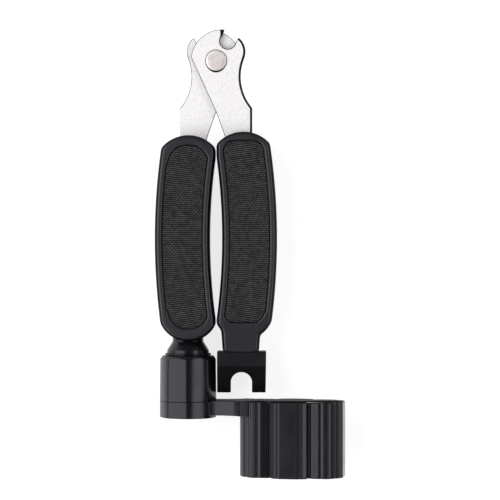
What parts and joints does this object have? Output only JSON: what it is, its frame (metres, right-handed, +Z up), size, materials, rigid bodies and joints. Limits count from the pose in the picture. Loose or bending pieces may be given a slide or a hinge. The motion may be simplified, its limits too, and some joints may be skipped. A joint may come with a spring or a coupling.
{
  "type": "string winder",
  "caption": "Hand tool for guitar strings: plier handles with a notched cutter head, a fork that pulls bridge pins, and a crank with a fluted socket that winds tuning pegs.",
  "frame": {"origin": "middle of the tool's footprint, on the surface that it lies on", "axes": "+Y along the tool towards the cutting jaws, +Z up out of the front face, +X to the right towards the peg socket"},
  "size_m": [0.0738, 0.1732, 0.0304],
  "materials": {
    "blade_steel": "bright satin, fine tumbled grain",
    "rivet_steel": "satin, slightly warm",
    "handle_plastic": "satin moulded ABS",
    "inlay_rubber": "matte, fine woven texture",
    "winder_plastic": "semi-gloss moulded plastic",
    "screw_steel": "zinc plated",
    "bush_brass": "turned"
  },
  "bodies": {
    "left_handle": {"rear_blade": "blade_steel", "pivot_rivet": "rivet_steel", "left_front_shell": "handle_plastic", "left_rear_shell": "handle_plastic", "left_front_inlay": "inlay_rubber", "left_rear_inlay": "inlay_rubber", "left_shell_screws": "screw_steel", "neck_collar": "winder_plastic", "octagon_barrel": "winder_plastic", "crank_spindle": "screw_steel", "crank_washer": "screw_steel", "crank_screw": "screw_steel"},
    "right_handle": {"front_blade": "blade_steel", "right_front_shell": "handle_plastic", "right_rear_shell": "handle_plastic", "right_front_inlay": "inlay_rubber", "right_rear_inlay": "inlay_rubber", "right_shell_screws": "screw_steel", "pin_puller": "winder_plastic"},
    "crank": {"crank_arm": "winder_plastic", "crank_bush": "bush_brass", "peg_socket": "winder_plastic"}
  },
  "joints": [
    {"name": "handle_pivot", "type": "hinge", "parent": "left_handle", "child": "right_handle", "pos_m": [-0.0132, 0.07452, 0.0112], "axis": [0, 0, 1], "range_deg": [0, 52]},
    {"name": "crank_spin", "type": "hinge", "parent": "left_handle", "child": "crank", "pos_m": [-0.02415, -0.05783, 0.0112], "axis": [0, -1, 0], "continuous": true}
  ]
}
